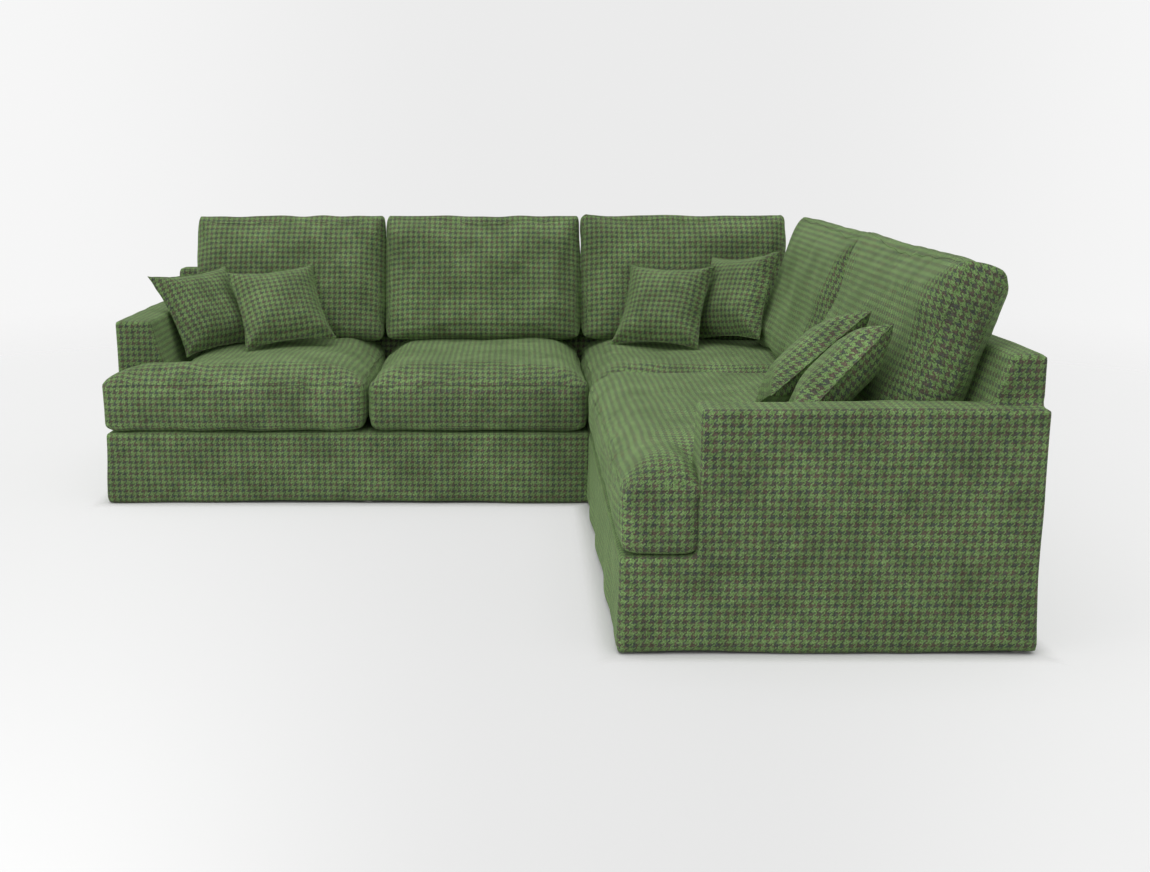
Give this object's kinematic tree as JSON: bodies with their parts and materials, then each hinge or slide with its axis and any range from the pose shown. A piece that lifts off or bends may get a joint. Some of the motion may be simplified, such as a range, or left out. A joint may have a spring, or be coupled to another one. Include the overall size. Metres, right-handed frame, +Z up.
{
  "type": "corner sofa",
  "caption": "L-shaped corner sofa in green houndstooth cloth: two linked runs with low raked arms, boxed seat cushions, tall back cushions and loose scatter cushions.",
  "frame": {"origin": "on the floor, under the middle of the sofa's overall plan", "axes": "+Z up; the long run lies along X with its front towards -Y, and the return lies along Y at the +X side with its front towards -X"},
  "size_m": [2.654, 2.455, 0.932],
  "materials": {
    "houndstooth_cloth": "woven green and dark brown houndstooth check, soft and matt",
    "filling": "foam and fibre, matt",
    "lining": "plain woven lining, matt",
    "webbing": "elastic webbing, matt",
    "timber": "sawn softwood, matt",
    "foot_timber": "dark stained wood, satin",
    "glide_plastic": "moulded nylon, matt",
    "steel": "zinc plated, satin"
  },
  "bodies": {
    "base": {"left_arm_cover": "houndstooth_cloth", "left_arm_pad": "filling", "left_arm_frame": "timber", "return_arm_cover": "houndstooth_cloth", "return_arm_pad": "filling", "return_arm_frame": "timber", "left_back_cover": "houndstooth_cloth", "left_back_pad": "filling", "left_back_frame": "timber", "return_back_cover": "houndstooth_cloth", "return_back_pad": "filling", "return_back_frame": "timber", "corner_back_cover": "houndstooth_cloth", "corner_back_pad": "filling", "corner_back_frame": "timber", "left_base_cover": "houndstooth_cloth", "left_seat_frame": "timber", "left_deck": "lining", "corner_base_cover": "houndstooth_cloth", "corner_seat_frame": "timber", "corner_deck": "lining", "return_base_cover": "houndstooth_cloth", "return_seat_frame": "timber", "return_deck": "lining", "glue_blocks": "timber", "feet": "foot_timber", "glides": "glide_plastic", "dust_covers": "lining", "webbing_lengthways": "webbing", "webbing_crossways": "webbing", "link_bolts": "steel", "link_nuts": "steel"},
    "seat_left": {"seat_left_cover": "houndstooth_cloth", "seat_left_filling": "filling"},
    "seat_middle": {"seat_middle_cover": "houndstooth_cloth", "seat_middle_filling": "filling"},
    "seat_corner": {"seat_corner_cover": "houndstooth_cloth", "seat_corner_filling": "filling"},
    "seat_return": {"seat_return_cover": "houndstooth_cloth", "seat_return_filling": "filling"},
    "back_left": {"back_left_cover": "houndstooth_cloth", "back_left_filling": "filling"},
    "back_middle": {"back_middle_cover": "houndstooth_cloth", "back_middle_filling": "filling"},
    "back_corner": {"back_corner_cover": "houndstooth_cloth", "back_corner_filling": "filling"},
    "back_return_far": {"back_return_far_cover": "houndstooth_cloth", "back_return_far_filling": "filling"},
    "back_return_near": {"back_return_near_cover": "houndstooth_cloth", "back_return_near_filling": "filling"},
    "scatter_left_outer": {"scatter_left_outer": "houndstooth_cloth"},
    "scatter_left_inner": {"scatter_left_inner": "houndstooth_cloth"},
    "scatter_corner_inner": {"scatter_corner_inner": "houndstooth_cloth"},
    "scatter_corner_outer": {"scatter_corner_outer": "houndstooth_cloth"},
    "scatter_return_far": {"scatter_return_far": "houndstooth_cloth"},
    "scatter_return_near": {"scatter_return_near": "houndstooth_cloth"}
  },
  "joints": [
    {"name": "seat_left_lift", "type": "slide", "parent": "base", "child": "seat_left", "axis": [0, 0, 1], "range_m": [0, 0.5]},
    {"name": "seat_middle_lift", "type": "slide", "parent": "base", "child": "seat_middle", "axis": [0, 0, 1], "range_m": [0, 0.5]},
    {"name": "seat_corner_lift", "type": "slide", "parent": "base", "child": "seat_corner", "axis": [0, 0, 1], "range_m": [0, 0.5]},
    {"name": "seat_return_pull", "type": "slide", "parent": "base", "child": "seat_return", "axis": [-1, 0, 0], "range_m": [0, 0.82]},
    {"name": "back_left_lift", "type": "slide", "parent": "seat_left", "child": "back_left", "axis": [0, 0.319, 0.9478], "range_m": [0, 0.5]},
    {"name": "back_middle_lift", "type": "slide", "parent": "seat_middle", "child": "back_middle", "axis": [0, 0.319, 0.9478], "range_m": [0, 0.5]},
    {"name": "back_corner_lift", "type": "slide", "parent": "seat_corner", "child": "back_corner", "axis": [0, 0.319, 0.9478], "range_m": [0, 0.5]},
    {"name": "back_return_far_lift", "type": "slide", "parent": "seat_corner", "child": "back_return_far", "axis": [0.319, 0, 0.9478], "range_m": [0, 0.5]},
    {"name": "back_return_near_lift", "type": "slide", "parent": "seat_return", "child": "back_return_near", "axis": [0.319, 0, 0.9478], "range_m": [0, 0.5]},
    {"name": "scatter_left_outer_lift", "type": "slide", "parent": "back_left", "child": "scatter_left_outer", "axis": [0, 0, 1], "range_m": [0, 0.4]},
    {"name": "scatter_left_inner_lift", "type": "slide", "parent": "scatter_left_outer", "child": "scatter_left_inner", "axis": [0, 0, 1], "range_m": [0, 0.4]},
    {"name": "scatter_corner_inner_lift", "type": "slide", "parent": "back_corner", "child": "scatter_corner_inner", "axis": [0, 0, 1], "range_m": [0, 0.4]},
    {"name": "scatter_corner_outer_lift", "type": "slide", "parent": "scatter_corner_inner", "child": "scatter_corner_outer", "axis": [0, 0, 1], "range_m": [0, 0.4]},
    {"name": "scatter_return_near_lift", "type": "slide", "parent": "back_return_near", "child": "scatter_return_near", "axis": [0, 0, 1], "range_m": [0, 0.4]},
    {"name": "scatter_return_far_lift", "type": "slide", "parent": "scatter_return_near", "child": "scatter_return_far", "axis": [0, 0, 1], "range_m": [0, 0.4]}
  ]
}
